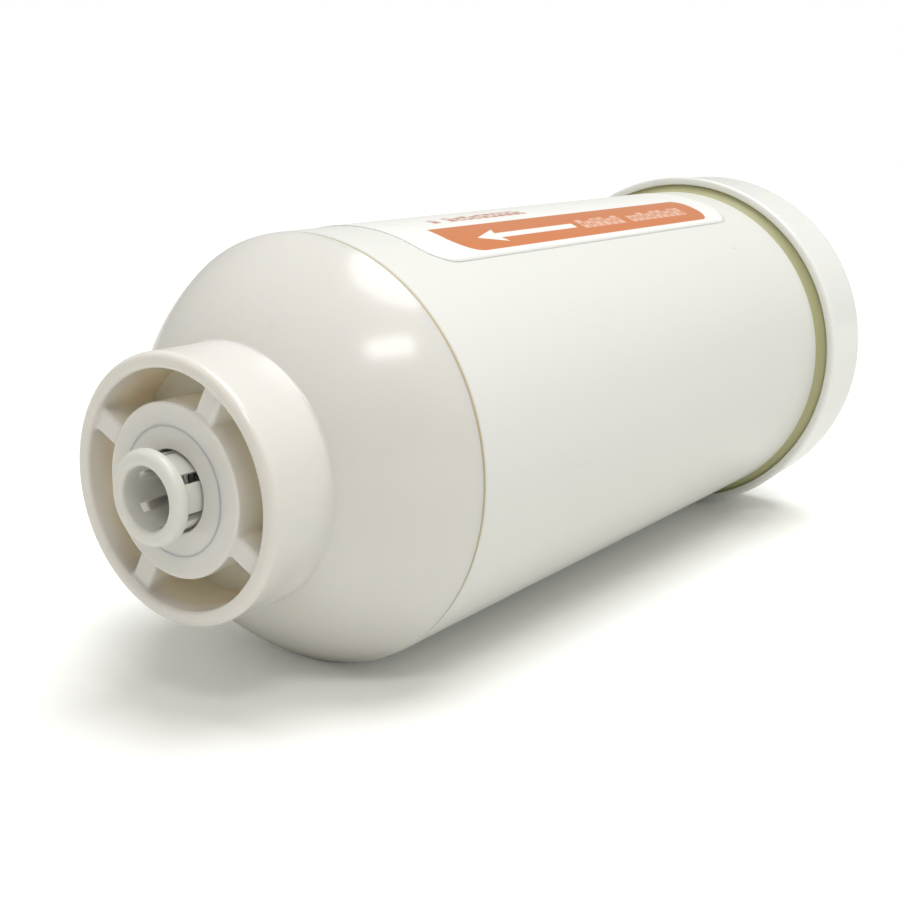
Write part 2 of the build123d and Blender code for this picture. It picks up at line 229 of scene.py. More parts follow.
# %% The handling marks group
marks, given, out = new_group(
    "handling_marks",
    [
        ("Colour", "Color", (0.8, 0.8, 0.8, 1)),
        ("Roughness", "Float", 0.3),
        ("Rubs", "Float", 0.3),
        ("Speck Spacing", "Float", 9 * MM),
        ("Speck Share", "Float", 0.2),
    ],
    [("Colour", "Color"), ("Roughness", "Float")],
)
RUB_COLOUR = (0.42, 0.40, 0.35, 1)
SPECK_COLOUR = (0.06, 0.05, 0.04, 1)
SPECK_SIZE = 0.022  # as a share of the speck spacing
here = add(marks, "ShaderNodeTexCoord").outputs["Object"]
slant = {"Vector": here, "Rotation": (0.3, 0.25, 0.4), "Scale": (110, 2600, 2600)}
slanted = add(marks, "ShaderNodeMapping", slant)
streaks = add(marks, "ShaderNodeTexNoise", {"Vector": slanted.outputs[0], "Scale": 1.0, "Detail": 1.0})
line = {"Value": streaks.outputs["Fac"], "From Min": 0.60, "From Max": 0.72}
peaks = add(marks, "ShaderNodeMapRange", line)
where = add(marks, "ShaderNodeTexNoise", {"Vector": here, "Scale": 95.0})
area = {"Value": where.outputs["Fac"], "From Min": 0.55, "From Max": 0.70}
some = add(marks, "ShaderNodeMapRange", area)
rubs = maths(marks, "MULTIPLY", maths(marks, "MULTIPLY", peaks.outputs[0], some.outputs[0]), given["Rubs"])
cell_scale = maths(marks, "DIVIDE", 1.0, given["Speck Spacing"])
cells = add(marks, "ShaderNodeTexVoronoi", {"Vector": here, "Scale": cell_scale}).outputs
core = maths(marks, "LESS_THAN", cells["Distance"], SPECK_SIZE)
picked = add(marks, "ShaderNodeSeparateColor", {"Color": cells["Color"]}).outputs["Red"]
specks = maths(marks, "MULTIPLY", core, maths(marks, "LESS_THAN", picked, given["Speck Share"]))
rubbed = mix_colours(marks, rubs, given["Colour"], RUB_COLOUR)
fill(marks, out["Colour"], mix_colours(marks, specks, rubbed, SPECK_COLOUR))
fill(marks, out["Roughness"], maths(marks, "MULTIPLY_ADD", rubs, 0.25, given["Roughness"]))
print("group:", marks.name)

# %% [markdown]
# ### Plastic in shelter
# In the pockets round a port, light meets the plastic several times before it leaves, and each time a
# little of its blue is lost, so the pocket walls look creamier than the outside. The subsurface shader
# gives some of this. The rest is painted: a mask of the place, between the hub and the collar and behind
# the rim, mixes a cream into the base colour as painted bounced light.

# %% The painted pocket light group
RIM_X = -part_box("outlet_end_cap")[0].x
POCKET_R = (9.2 * MM, 13.2 * MM)  # from inside the hub's edge to outside the collar's bore
POCKET_FLOOR = 10.8 * MM

pocket_light, given, out = new_group(
    "painted_pocket_light",
    [
        ("Colour", "Color", (0.8, 0.8, 0.8, 1)),
        ("Painted Light Colour", "Color", (0.9, 0.85, 0.7, 1)),
    ],
    [("Colour", "Color")],
)
here = add(pocket_light, "ShaderNodeTexCoord").outputs["Object"]
parts = add(pocket_light, "ShaderNodeSeparateXYZ", {0: here}).outputs
depth = maths(pocket_light, "SUBTRACT", RIM_X, maths(pocket_light, "ABSOLUTE", parts["X"]))
across = vectors(pocket_light, "MULTIPLY", here, (0, 1, 1))
radius = add(pocket_light, "ShaderNodeVectorMath", {0: across}, operation="LENGTH").outputs["Value"]
behind = {"Value": depth, "From Min": 0.9 * MM, "From Max": 3.5 * MM}
deep = add(pocket_light, "ShaderNodeMapRange", behind).outputs[0]
for low, value, high in (
    (POCKET_R[0], radius, POCKET_R[1]),
    (0.0, depth, POCKET_FLOOR),
):
    deep = maths(pocket_light, "MULTIPLY", deep, maths(pocket_light, "GREATER_THAN", value, low))
    deep = maths(pocket_light, "MULTIPLY", deep, maths(pocket_light, "LESS_THAN", value, high))
fill(pocket_light, out["Colour"], mix_colours(pocket_light, deep, given["Colour"], given["Painted Light Colour"]))
print("group:", pocket_light.name)


# %% [markdown]
# ## Finishes
#
# Each finish is a Principled shader in its own material, with the shared effects plugged into it. What is
# the same all over the surface, such as how far light travels inside the plastic, is set on the shader
# itself.

# %% Helpers for materials
def start_material(name, **constants):
    """A new material's tree and its Principled shader, with the shader's own constants set."""
    material = bpy.data.materials.new(name)
    material.use_nodes = True
    tree = material.node_tree
    tree.nodes.clear()
    shader = add(tree, "ShaderNodeBsdfPrincipled")
    for label, value in constants.items():
        shader.inputs[label.replace("_", " ").title().replace("Ior", "IOR")].default_value = value
    add(tree, "ShaderNodeOutputMaterial", {"Surface": shader.outputs[0]})
    return material, tree, shader.inputs


def use_group(tree, group, inputs):
    """A shared effect placed in a material."""
    placed = add(tree, "ShaderNodeGroup", node_tree=group)
    for label, value in inputs.items():
        fill(tree, placed.inputs[label], value)
    return placed.outputs


def dress(finish, *names):
    """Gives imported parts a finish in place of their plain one."""
    for name in names:
        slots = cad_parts[name].material_slots
        for held in slots:
            held.material = finish
    print(finish.name, "on", ", ".join(names))


# %% [markdown]
# ### White mouldings
#
# The caps are glossy, slightly warm white plastic. Light goes a little way into it, which softens the deep
# pockets round the port and turns them cream, so the shader has a short subsurface distance, and a cream
# painted into the pockets as bounced light adds the rest. One function makes every moulded finish, because
# the caps, collets and inner fittings differ only in tone, gloss and grain.

# %% Moulded finishes
def moulded_finish(
    name,
    colour,
    patch_colour,
    roughness,
    glow=0.0,
    wear=0.12,
    specks=0.15,
    grain=0.4 * MM,
    height=0.002 * MM,
    pocket_light_colour=None,
):
    """A moulded plastic. glow is how much of its light has been inside it."""
    finish, tree, shader = start_material(
        name,
        ior=1.50,
        subsurface_weight=glow,
        subsurface_radius=(1.0, 0.85, 0.65),
        subsurface_scale=1.2 * MM,
    )
    surface = use_group(
        tree,
        moulded,
        {
            "Colour": (*colour, 1),
            "Patch Colour": (*patch_colour, 1),
            "Patches": 0.8,
            "Grain Size": grain,
            "Grain Height": height,
            "Roughness": roughness,
            "Roughness Spread": roughness * 0.4,
        },
    )
    tone = surface["Colour"]
    # Painted bounced light: a cream mixed into the base colour in the pockets round the port.
    if pocket_light_colour:
        tone = use_group(tree, pocket_light, {"Colour": tone, "Painted Light Colour": (*pocket_light_colour, 1)})["Colour"]
    worn = use_group(
        tree,
        marks,
        {"Colour": tone, "Roughness": surface["Roughness"], "Rubs": wear, "Speck Share": specks},
    )
    fill(tree, shader["Base Color"], worn["Colour"])
    fill(tree, shader["Roughness"], worn["Roughness"])
    fill(tree, shader["Normal"], surface["Normal"])
    return finish


# Cream painted into the pockets as bounced light, one for each cap's plastic.
DOME_POCKET_LIGHT = (0.93, 0.875, 0.755)
CAP_POCKET_LIGHT = (0.93, 0.905, 0.83)
dome_white = moulded_finish(
    "dome_plastic", (0.765, 0.748, 0.728), (0.72, 0.698, 0.66), 0.19, glow=0.8, pocket_light_colour=DOME_POCKET_LIGHT
)
dress(dome_white, "outlet_end_cap", "outlet_collet_retainer")
cap_white = moulded_finish(
    "cap_plastic", (0.87, 0.875, 0.87), (0.83, 0.83, 0.81), 0.20, glow=0.6, pocket_light_colour=CAP_POCKET_LIGHT
)
dress(cap_white, "inlet_end_cap", "inlet_collet_retainer")
acetal = moulded_finish("collet_plastic", (0.75, 0.745, 0.715), (0.70, 0.69, 0.65), 0.3, glow=0.4, specks=0)
dress(acetal, "outlet_collet", "inlet_collet")
natural = moulded_finish("natural_plastic", (0.80, 0.80, 0.77), (0.73, 0.73, 0.70), 0.38, glow=0.4, wear=0.1)
dress(natural, "block_outlet_cap", "block_inlet_cap", "core_tube", "outlet_spacer_ring", "inlet_spacer_ring")
flash = moulded_finish(
    "weld_tan",
    (0.52, 0.44, 0.28),
    (0.38, 0.31, 0.18),
    roughness=0.5,
    wear=0,
    specks=0,
    grain=0.25 * MM,
    height=0.01 * MM,
)
dress(flash, "outlet_weld_bead")
# The inlet bead's finish is a dark olive, darker than the cap and the tube on either side of it.
sealant = moulded_finish(
    "sealant",
    (0.46, 0.45, 0.25),
    (0.36, 0.35, 0.19),
    roughness=0.45,
    wear=0,
    specks=0,
    grain=0.8 * MM,
    height=0.03 * MM,
)
dress(sealant, "inlet_weld_bead")

# %% [markdown]
# ### The tube
#
# The tube is extruded, whiter and less glossy than the caps, with the faint drawn lines of its die on top
# of the same grain.

# %% Tube finish
tube_finish, tree, shader = start_material(
    "tube_plastic",
    ior=1.52,
    subsurface_weight=0.12,
    subsurface_radius=(1.0, 0.9, 0.8),
    subsurface_scale=1.5 * MM,
)
surface = use_group(
    tree,
    moulded,
    {
        "Colour": (0.77, 0.77, 0.75, 1),
        "Patch Colour": (0.74, 0.74, 0.715, 1),
        "Patch Size": 22 * MM,
        "Roughness": 0.34,
        "Roughness Spread": 0.1,
        "Grain Height": 0.003 * MM,
    },
)
die = use_group(tree, drawn, {"Normal": surface["Normal"]})
worn = use_group(tree, marks, {"Colour": surface["Colour"], "Roughness": surface["Roughness"], "Rubs": 0.07})
fill(tree, shader["Base Color"], worn["Colour"])
fill(tree, shader["Roughness"], worn["Roughness"])
fill(tree, shader["Normal"], die["Normal"])
dress(tube_finish, "housing_tube")

# %% [markdown]
# ### Spring steel
#
# The grip teeth are seen only in a port's mouth. They are stamped from bright rolled strip, so the drawn
# lines group serves again, with finer lines, to vary both the tone and the gloss.

# %% Steel finish
steel, tree, shader = start_material("tooth_steel", metallic=1.0)
rolled = use_group(tree, drawn, {"Line Size": 0.08 * MM, "Along": 0.2, "Height": 0.001 * MM})
steel_tone = mix_colours(tree, rolled["Lines"], (0.66, 0.66, 0.65, 1), (0.50, 0.50, 0.49, 1))
fill(tree, shader["Base Color"], steel_tone)
fill(tree, shader["Roughness"], maths(tree, "MULTIPLY_ADD", rolled["Lines"], 0.2, 0.15))
fill(tree, shader["Normal"], rolled["Normal"])
dress(steel, "outlet_grip_teeth", "inlet_grip_teeth")

# %% [markdown]
# ### Seal rubber
#
# The seals are black rubber. Rubber that has been stored has a patchy grey bloom, which the moulded
# surface group gives when its patches are small and its second colour is lighter than its first.

# %% Rubber finish
rubber, tree, shader = start_material("seal_rubber", ior=1.5)
bloom = use_group(
    tree,
    moulded,
    {
        "Colour": (0.018, 0.018, 0.018, 1),
        "Patch Colour": (0.06, 0.06, 0.058, 1),
        "Patch Size": 1.5 * MM,
        "Grain Size": 0.1 * MM,
        "Grain Height": 0.004 * MM,
        "Roughness": 0.5,
        "Roughness Spread": 0.2,
    },
)
for label in ("Base Color", "Roughness", "Normal"):
    fill(tree, shader[label], bloom[label.replace("Base Color", "Colour")])
dress(rubber, "outlet_tube_o_ring", "inlet_tube_o_ring", "nipple_o_ring")

# %% [markdown]
# ### Carbon block
#
# The block is carbon grains pressed and baked with a binder. A smooth cell pattern makes the grains and a
# rougher noise the pores between them. Both go into the bump. A lighter tone painted towards each grain's
# edge stands for the glint its faces catch.

# %% Carbon finish
carbon, tree, shader = start_material("carbon", ior=1.6)
here = add(tree, "ShaderNodeTexCoord").outputs["Object"]
grains = add(tree, "ShaderNodeTexVoronoi", {"Vector": here, "Scale": 2600.0}, feature="SMOOTH_F1")
pores = add(tree, "ShaderNodeTexNoise", {"Vector": here, "Scale": 420.0, "Detail": 6.0})
relief = maths(tree, "ADD", grains.outputs["Distance"], pores.outputs["Fac"])
# Painted glint: the colour grows lighter away from the middle of each grain.
between = {"Value": grains.outputs["Distance"], "From Min": 0.35, "From Max": 0.6}
painted_glint = add(tree, "ShaderNodeMapRange", between).outputs[0]
grain_and_glint_colour = mix_colours(tree, painted_glint, (0.012, 0.012, 0.013, 1), (0.05, 0.05, 0.052, 1))
fill(tree, shader["Base Color"], grain_and_glint_colour)
fill(tree, shader["Roughness"], maths(tree, "MULTIPLY_ADD", pores.outputs["Fac"], 0.5, 0.45))
pressed = add(tree, "ShaderNodeBump", {"Height": relief, "Distance": 0.08 * MM})
fill(tree, shader["Normal"], pressed.outputs[0])
dress(carbon, "carbon_block")

# %% [markdown]
# ### Felt
#
# The wrap is a non-woven felt, fibres lying every way. Noise stretched along a direction looks like fibres
# along it, so three such noises in different directions are laid over each other, the highest one showing.

# %% Felt finish
felt, tree, shader = start_material("wrap_felt", sheen_weight=0.4, sheen_roughness=0.6)
here = add(tree, "ShaderNodeTexCoord").outputs["Object"]
fibres = None
for direction in ((1.0, 0.06, 0.4), (0.12, 1.0, 0.3), (0.5, 0.3, 0.05)):
    pulled = vectors(tree, "MULTIPLY", here, direction)
    strand = {"Vector": pulled, "Scale": 3600.0, "Detail": 1.0}
    strands = add(tree, "ShaderNodeTexNoise", strand).outputs["Fac"]
    fibres = strands if fibres is None else maths(tree, "MAXIMUM", fibres, strands)
fibre_tone = add(tree, "ShaderNodeMapRange", {"Value": fibres, "From Min": 0.45, "From Max": 0.75}).outputs[0]
fill(tree, shader["Base Color"], mix_colours(tree, fibre_tone, (0.60, 0.60, 0.57, 1), (0.86, 0.86, 0.84, 1)))
fill(tree, shader["Roughness"], maths(tree, "MULTIPLY_ADD", fibre_tone, -0.15, 0.95))
matted = add(tree, "ShaderNodeBump", {"Height": fibres, "Distance": 0.12 * MM})
fill(tree, shader["Normal"], matted.outputs[0])
dress(felt, "prefilter_wrap")

# %% [markdown]
# ## The netting
#
# The felt is held by a sleeve of extruded diamond netting: two sets of fine strands that spiral opposite
# ways and are fused where they cross. It repeats by rule, so Geometry Nodes make it. One strand is a spiral
# swept with a small circle, and it is copied round the axis. The second set turns the other way and lies a
# little further out. The spiral node works along Z, so the finished net is laid along X at the end.

# %% Netting tree
netting, given, out = new_group(
    "diamond_netting",
    [
        ("Length", "Float", 80 * MM),
        ("Middle Radius", "Float", 19 * MM),
        ("Strands", "Int", 28),
        ("Turns", "Float", 0.7),
        ("Strand Width", "Float", 0.3 * MM),
        ("Start", "Float", 0.0),
        ("Finish", "Material", None),
    ],
    [("Netting", "Geometry")],
    kind="GeometryNodeTree",
)
POINTS_PER_TURN, STRAND_SIDES = 90, 6
strand_r = maths(netting, "MULTIPLY", given["Strand Width"], 0.5)
profile = add(netting, "GeometryNodeCurvePrimitiveCircle", {"Resolution": STRAND_SIDES, "Radius": strand_r})
hubs = add(netting, "GeometryNodePoints", {"Count": given["Strands"]})
step = maths(netting, "DIVIDE", 2 * pi, given["Strands"])
index = add(netting, "GeometryNodeInputIndex").outputs[0]
turned = add(netting, "ShaderNodeCombineXYZ", {"Z": maths(netting, "MULTIPLY", index, step)}).outputs[0]
both = add(netting, "GeometryNodeJoinGeometry")
for other_way, lift in ((False, -0.3), (True, 0.3)):
    radius = maths(netting, "MULTIPLY_ADD", given["Strand Width"], lift, given["Middle Radius"])
    spiral = add(
        netting,
        "GeometryNodeCurveSpiral",
        {
            "Resolution": POINTS_PER_TURN,
            "Rotations": given["Turns"],
            "Start Radius": radius,
            "End Radius": radius,
            "Height": given["Length"],
            "Reverse": other_way,
        },
    )
    strand = add(
        netting,
        "GeometryNodeCurveToMesh",
        {"Curve": spiral.outputs[0], "Profile Curve": profile.outputs[0], "Fill Caps": True},
    )
    copies = {"Points": hubs.outputs[0], "Instance": strand.outputs[0], "Rotation": turned}
    netting.links.new(add(netting, "GeometryNodeInstanceOnPoints", copies).outputs[0], both.inputs[0])
place = add(netting, "ShaderNodeCombineXYZ", {"X": given["Start"]}).outputs[0]
laid = {"Geometry": both.outputs[0], "Translation": place, "Rotation": (0, pi / 2, 0)}
laid = add(netting, "GeometryNodeTransform", laid)
real = add(netting, "GeometryNodeRealizeInstances", {"Geometry": laid.outputs[0]})
painted = add(netting, "GeometryNodeSetMaterial", {"Geometry": real.outputs[0], "Material": given["Finish"]})
fill(netting, out["Netting"], painted.outputs[0])
print("tree:", netting.name, "with", len(netting.nodes), "nodes")


# %% Run a tree
def grow(name, tree, **sizes):
    """Runs a Geometry Nodes tree with the given sizes and keeps the result as a plain mesh object."""
    seed_object = bpy.data.objects.new(name + "_maker", bpy.data.meshes.new(name + "_maker"))
    bpy.context.scene.collection.objects.link(seed_object)
    modifier = seed_object.modifiers.new("made", "NODES")
    modifier.node_group = tree
    sockets = {item.name: item.identifier for item in tree.interface.items_tree if item.in_out == "INPUT"}
    for label, value in sizes.items():
        modifier[sockets[label.replace("_", " ").title()]] = value
    graph = bpy.context.evaluated_depsgraph_get()
    grown = seed_object.evaluated_get(graph)
    mesh = bpy.data.meshes.new_from_object(grown, preserve_all_data_layers=True, depsgraph=graph)
    bpy.data.objects.remove(seed_object)
    made = bpy.data.objects.new(name, mesh)
    bpy.context.scene.collection.objects.link(made)
    return made


# %% Netting finish and piece
net_plastic = moulded_finish(
    "net_plastic", (0.78, 0.80, 0.78), (0.70, 0.73, 0.70), 0.3, glow=0.2, wear=0.0, specks=0.0
)
net_gauge = (net_high.z - WRAP_R) * 0.62  # two crossed strands, sunk a little into each other
net = grow(
    "block_netting",
    netting,
    length=net_high.x - net_low.x,
    middle_radius=(net_high.z + WRAP_R) / 2,
    strand_width=net_gauge,
    start=net_low.x,
    finish=net_plastic,
)
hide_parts("wrap_netting")
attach(net, "housing")
print("netting faces:", len(net.data.polygons))

# %% [markdown]
# ## The label
#
# The label is a coated white sticker, a tenth of a millimetre thick, with an orange strip that holds a
# white arrow towards the outlet. The sheet is made flat in rows and columns, with shorter columns near its
# ends so that its corners are round, and each point is then wrapped on to the tube. Its UV map keeps the
# flat sheet's own measures, one unit for each 100 mm, so the print can be drawn in the shader as it would
# be on paper.

# %% Label sheet
LABEL_CORNER = 4 * MM
UV_UNIT = 100 * MM
CORNER_STEPS, MIDDLE_STEPS, ROUND_STEPS = 10, 24, 96
PAPER = LABEL_R - TUBE_R


def wrap_on_tube(along, across, radius):
    """A point of the flat label, wrapped on to the tube from its near edge up and over."""
    angle = LABEL_NEAR - across / LABEL_R
    return Vector((label_low.x + along, -sin(angle) * radius, cos(angle) * radius))


def label_columns():
    """Distances from the label's front edge, closer together at its rounded corners."""
    bend = [LABEL_CORNER * (1 - cos(pi / 2 * i / CORNER_STEPS)) for i in range(CORNER_STEPS)]
    middle = LABEL_LENGTH - 2 * LABEL_CORNER
    straight = [LABEL_CORNER + middle * i / MIDDLE_STEPS for i in range(MIDDLE_STEPS + 1)]
    return bend + straight + [LABEL_LENGTH - x for x in reversed(bend)]


def label_sheet():
    """The label as a closed sheet with its flat measures in a UV map."""
    mesh = bmesh.new()
    uv = mesh.loops.layers.uv.new("flat")
    flat = {}
    grids = []
    for radius in (LABEL_R, TUBE_R + PAPER * 0.05):
        grid = []
        for along in label_columns():
            from_end = min(along, LABEL_LENGTH - along)
            past = max(LABEL_CORNER - from_end, 0)
            inset = LABEL_CORNER - sqrt(LABEL_CORNER**2 - past**2)
            column = []
            for j in range(ROUND_STEPS + 1):
                across = inset + (LABEL_GIRTH - 2 * inset) * j / ROUND_STEPS
                vert = mesh.verts.new(wrap_on_tube(along, across, radius))
                flat[vert] = (along / UV_UNIT, across / UV_UNIT)
                column.append(vert)
            grid.append(column)
        grids.append(grid)
    top, under = grids
    last = len(top) - 1
    for i in range(last):
        for j in range(ROUND_STEPS):
            mesh.faces.new((top[i][j], top[i + 1][j], top[i + 1][j + 1], top[i][j + 1]))
            mesh.faces.new((under[i][j], under[i][j + 1], under[i + 1][j + 1], under[i + 1][j]))
        for j in (0, ROUND_STEPS):
            mesh.faces.new((top[i][j], under[i][j], under[i + 1][j], top[i + 1][j]))
    for i in (0, last):
        for j in range(ROUND_STEPS):
            mesh.faces.new((top[i][j], top[i][j + 1], under[i][j + 1], under[i][j]))
    bmesh.ops.recalc_face_normals(mesh, faces=mesh.faces)
    for face in mesh.faces:
        face.smooth = abs(face.normal.x) < 0.5
        for loop in face.loops:
            loop[uv].uv = flat[loop.vert]
    sheet = bpy.data.meshes.new("printed_label")
    mesh.to_mesh(sheet)
    mesh.free()
    return sheet


printed_label = bpy.data.objects.new("printed_label", label_sheet())
bpy.context.scene.collection.objects.link(printed_label)
print("label faces:", len(printed_label.data.polygons))

# %% [markdown]
# ### Shapes to print with
#
# The print needs only a few shapes, drawn from distances on the flat sheet in millimetres. A printed box is
# rounded by a radius of its own at each corner: the box is shrunk by that radius, and the distance to what
# is left, less the radius, says how far outside the shape a point is.

# %% Printed box group
SOFT_EDGE = 0.08  # mm over which an edge of print fades

rounded_box, given, out = new_group(
    "printed_box",
    [
        ("Sheet", "Vector", None),
        ("Low", "Vector", None),
        ("High", "Vector", None),
        ("Front Low Corner", "Float", 0.2),
        ("Front High Corner", "Float", 0.2),
        ("Rear Low Corner", "Float", 0.2),
        ("Rear High Corner", "Float", 0.2),
    ],
    [("Mask", "Float")],
)
both = vectors(rounded_box, "ADD", given["Low"], given["High"])
middle = vectors(rounded_box, "MULTIPLY", both, (0.5, 0.5, 0.5))
half = vectors(rounded_box, "SUBTRACT", given["High"], middle)
place = vectors(rounded_box, "SUBTRACT", given["Sheet"], middle)
sides = add(rounded_box, "ShaderNodeSeparateXYZ", {0: place}).outputs
is_rear = maths(rounded_box, "GREATER_THAN", sides["X"], 0.0)
is_high = maths(rounded_box, "GREATER_THAN", sides["Y"], 0.0)
low_radius = mix_numbers(rounded_box, is_rear, given["Front Low Corner"], given["Rear Low Corner"])
high_radius = mix_numbers(rounded_box, is_rear, given["Front High Corner"], given["Rear High Corner"])
radius = mix_numbers(rounded_box, is_high, low_radius, high_radius)
shrunk = vectors(rounded_box, "SUBTRACT", vectors(rounded_box, "ABSOLUTE", place), half)
outside = vectors(rounded_box, "MAXIMUM", vectors(rounded_box, "ADD", shrunk, radius), (0, 0, 0))
flat = vectors(rounded_box, "MULTIPLY", outside, (1, 1, 0))
reach = add(rounded_box, "ShaderNodeVectorMath", {0: flat}, operation="LENGTH").outputs["Value"]
beyond = maths(rounded_box, "SUBTRACT", reach, radius)
edge = {"Value": beyond, "From Min": -SOFT_EDGE / 2, "From Max": SOFT_EDGE / 2, "To Min": 1.0, "To Max": 0.0}
fill(rounded_box, out["Mask"], add(rounded_box, "ShaderNodeMapRange", edge).outputs[0])
print("group:", rounded_box.name)

# %% [markdown]
# ### Small print
#
# Print that is too small to read still gives a label its look. It is made as rows of little blocks on a
# grid, one for each letter's place. Random numbers for each place leave some out, as the gaps between
# words, make some shorter, so that a row has a ragged top, and open a small hole high or low in each. It
# says nothing.

# %% Small print group
GAP_SHARE, SHORT_SHARE = 0.13, 0.45  # places left empty, and those up to which a letter is short
SHORT_HEIGHT = 0.76  # of a tall letter's
LETTER_WIDTH, HOLE_WIDTH, HOLE_HEIGHT = 0.82, 0.32, 0.32  # of a letter's place, and of its height
HOLE_LOW, HOLE_HIGH = 0.3, 0.72

small_print, given, out = new_group(
    "small_print",
    [
        ("Sheet", "Vector", None),
        ("Low", "Vector", None),
        ("High", "Vector", None),
        ("Row Pitch", "Float", 2.2),
        ("Letter Height", "Float", 1.2),
        ("Letter Pitch", "Float", 0.9),
        ("Seed", "Float", 1.0),
    ],
    [("Mask", "Float")],
)
area = {"Sheet": given["Sheet"], "Low": given["Low"], "High": given["High"]}
block = use_group(small_print, rounded_box, area)
from_corner = vectors(small_print, "SUBTRACT", given["Sheet"], given["Low"])
measure = add(small_print, "ShaderNodeSeparateXYZ", {0: from_corner}).outputs
row = maths(small_print, "DIVIDE", measure["Y"], given["Row Pitch"])
in_row = maths(small_print, "MULTIPLY", maths(small_print, "FRACT", row), given["Row Pitch"])
column = maths(small_print, "DIVIDE", measure["X"], given["Letter Pitch"])
in_column = maths(small_print, "FRACT", column)
letter_place = {
    "X": maths(small_print, "FLOOR", column),
    "Y": maths(small_print, "FLOOR", row),
    "Z": given["Seed"],
}
letter_place = add(small_print, "ShaderNodeCombineXYZ", letter_place).outputs[0]
noise = add(small_print, "ShaderNodeTexWhiteNoise", {"Vector": letter_place}, noise_dimensions="3D").outputs
others = add(small_print, "ShaderNodeSeparateColor", {"Color": noise["Color"]}).outputs
is_letter = maths(small_print, "GREATER_THAN", noise["Value"], GAP_SHARE)
is_tall = maths(small_print, "GREATER_THAN", noise["Value"], SHORT_SHARE)
share = mix_numbers(small_print, is_tall, SHORT_HEIGHT, 1.0)
height = maths(small_print, "MULTIPLY", given["Letter Height"], share)
hole_share = mix_numbers(small_print, others["Green"], HOLE_LOW, HOLE_HIGH)
hole_middle = maths(small_print, "MULTIPLY", height, hole_share)
from_hole = maths(small_print, "ABSOLUTE", maths(small_print, "SUBTRACT", in_row, hole_middle))
level = maths(small_print, "LESS_THAN", from_hole, maths(small_print, "MULTIPLY", height, HOLE_HEIGHT / 2))
off_stem = maths(small_print, "ABSOLUTE", maths(small_print, "SUBTRACT", in_column, LETTER_WIDTH / 2 + 0.01))
hole = maths(small_print, "MULTIPLY", level, maths(small_print, "LESS_THAN", off_stem, HOLE_WIDTH / 2))
ink_here = maths(small_print, "MULTIPLY", is_letter, maths(small_print, "LESS_THAN", in_row, height))
in_letter = maths(small_print, "LESS_THAN", in_column, LETTER_WIDTH)
ink_here = maths(small_print, "MULTIPLY", ink_here, in_letter)
ink_here = maths(small_print, "MULTIPLY", ink_here, maths(small_print, "SUBTRACT", 1.0, hole))
fill(small_print, out["Mask"], maths(small_print, "MULTIPLY", ink_here, block["Mask"]))
print("group:", small_print.name)

# %% [markdown]
# ### Label finish
#
# The sheet is measured in millimetres from its near front corner. Ink goes on in layers, each one mixed
# over the last by its mask: the orange strip, the arrow and the pale small print in it, and the reddish
# line above. Past the top of the tube the sheet carries grey small print in blocks, with a second, plain
# orange band.

# %% Label print
PAPER_WHITE = (0.88, 0.88, 0.87, 1)
ORANGE = (0.62, 0.182, 0.048, 1)
PALE_ORANGE = (0.78, 0.46, 0.34, 1)
RED_GREY = (0.56, 0.27, 0.21, 1)
INK_GREY = (0.22, 0.22, 0.22, 1)

label_finish, tree, shader = start_material("label_paper", ior=1.48, coat_weight=0.3, coat_roughness=0.15)
flat_map = add(tree, "ShaderNodeUVMap", uv_map="flat").outputs[0]
to_mm = {0: flat_map, "Scale": UV_UNIT / MM}
sheet_mm = add(tree, "ShaderNodeVectorMath", to_mm, operation="SCALE").outputs[0]


def on_sheet(group, low, high, **settings):
    """The mask of a printed shape or of small print between two corners of the sheet, in millimetres."""
    inputs = {"Sheet": sheet_mm, "Low": (*low, 0), "High": (*high, 0)}
    inputs.update({label.replace("_", " ").title(): value for label, value in settings.items()})
    return use_group(tree, group, inputs)["Mask"]


def arrow_mask(tip, middle, head, half_width, shaft_end, shaft_width):
    """An arrow towards the label's front edge, with the back edge of its head swept."""
    parts = add(tree, "ShaderNodeSeparateXYZ", {0: sheet_mm}).outputs
    behind_tip = maths(tree, "SUBTRACT", parts["X"], tip)
    off_middle = maths(tree, "ABSOLUTE", maths(tree, "SUBTRACT", parts["Y"], middle))
    inside = maths(tree, "LESS_THAN", off_middle, maths(tree, "MULTIPLY", behind_tip, half_width / head))
    swept = maths(tree, "MULTIPLY_ADD", off_middle, 0.6, head - 0.6 * half_width)
    barbs = maths(tree, "MULTIPLY", inside, maths(tree, "LESS_THAN", behind_tip, swept))
    low = (tip + head / 2, middle - shaft_width / 2)
    shaft = on_sheet(rounded_box, low, (shaft_end, middle + shaft_width / 2))
    return maths(tree, "MAXIMUM", barbs, shaft)


strip = on_sheet(
    rounded_box, (6.8, 1.3), (71.2, 7.8), front_low_corner=4.0, rear_low_corner=2.8, rear_high_corner=2.4
)
strip_words = on_sheet(
    small_print, (36.5, 3.1), (66.4, 5.5), row_pitch=4, letter_height=2.3, letter_pitch=1.9, seed=3
)
upper_words = on_sheet(
    small_print, (11.0, 9.7), (31.7, 11.9), row_pitch=4, letter_height=2.1, letter_pitch=1.8, seed=8
)
first_block = on_sheet(small_print, (9.2, 20), (68.0, 45), row_pitch=3.0, letter_height=1.4, seed=5)
second_band = on_sheet(rounded_box, (6.8, 48), (71.2, 51), front_low_corner=1.4, rear_high_corner=1.4)
second_block = on_sheet(
    small_print, (9.2, 55), (62.0, 76), row_pitch=2.6, letter_height=1.2, letter_pitch=0.8, seed=1
)
layers = [
    (strip, ORANGE),
    (arrow_mask(12.3, 4.1, 5.0, 1.6, 34.8, 1.15), PAPER_WHITE),
    (strip_words, PALE_ORANGE),
    (upper_words, RED_GREY),
    (first_block, INK_GREY),
    (second_band, ORANGE),
    (second_block, INK_GREY),
]
ink = PAPER_WHITE
covered = 0.0
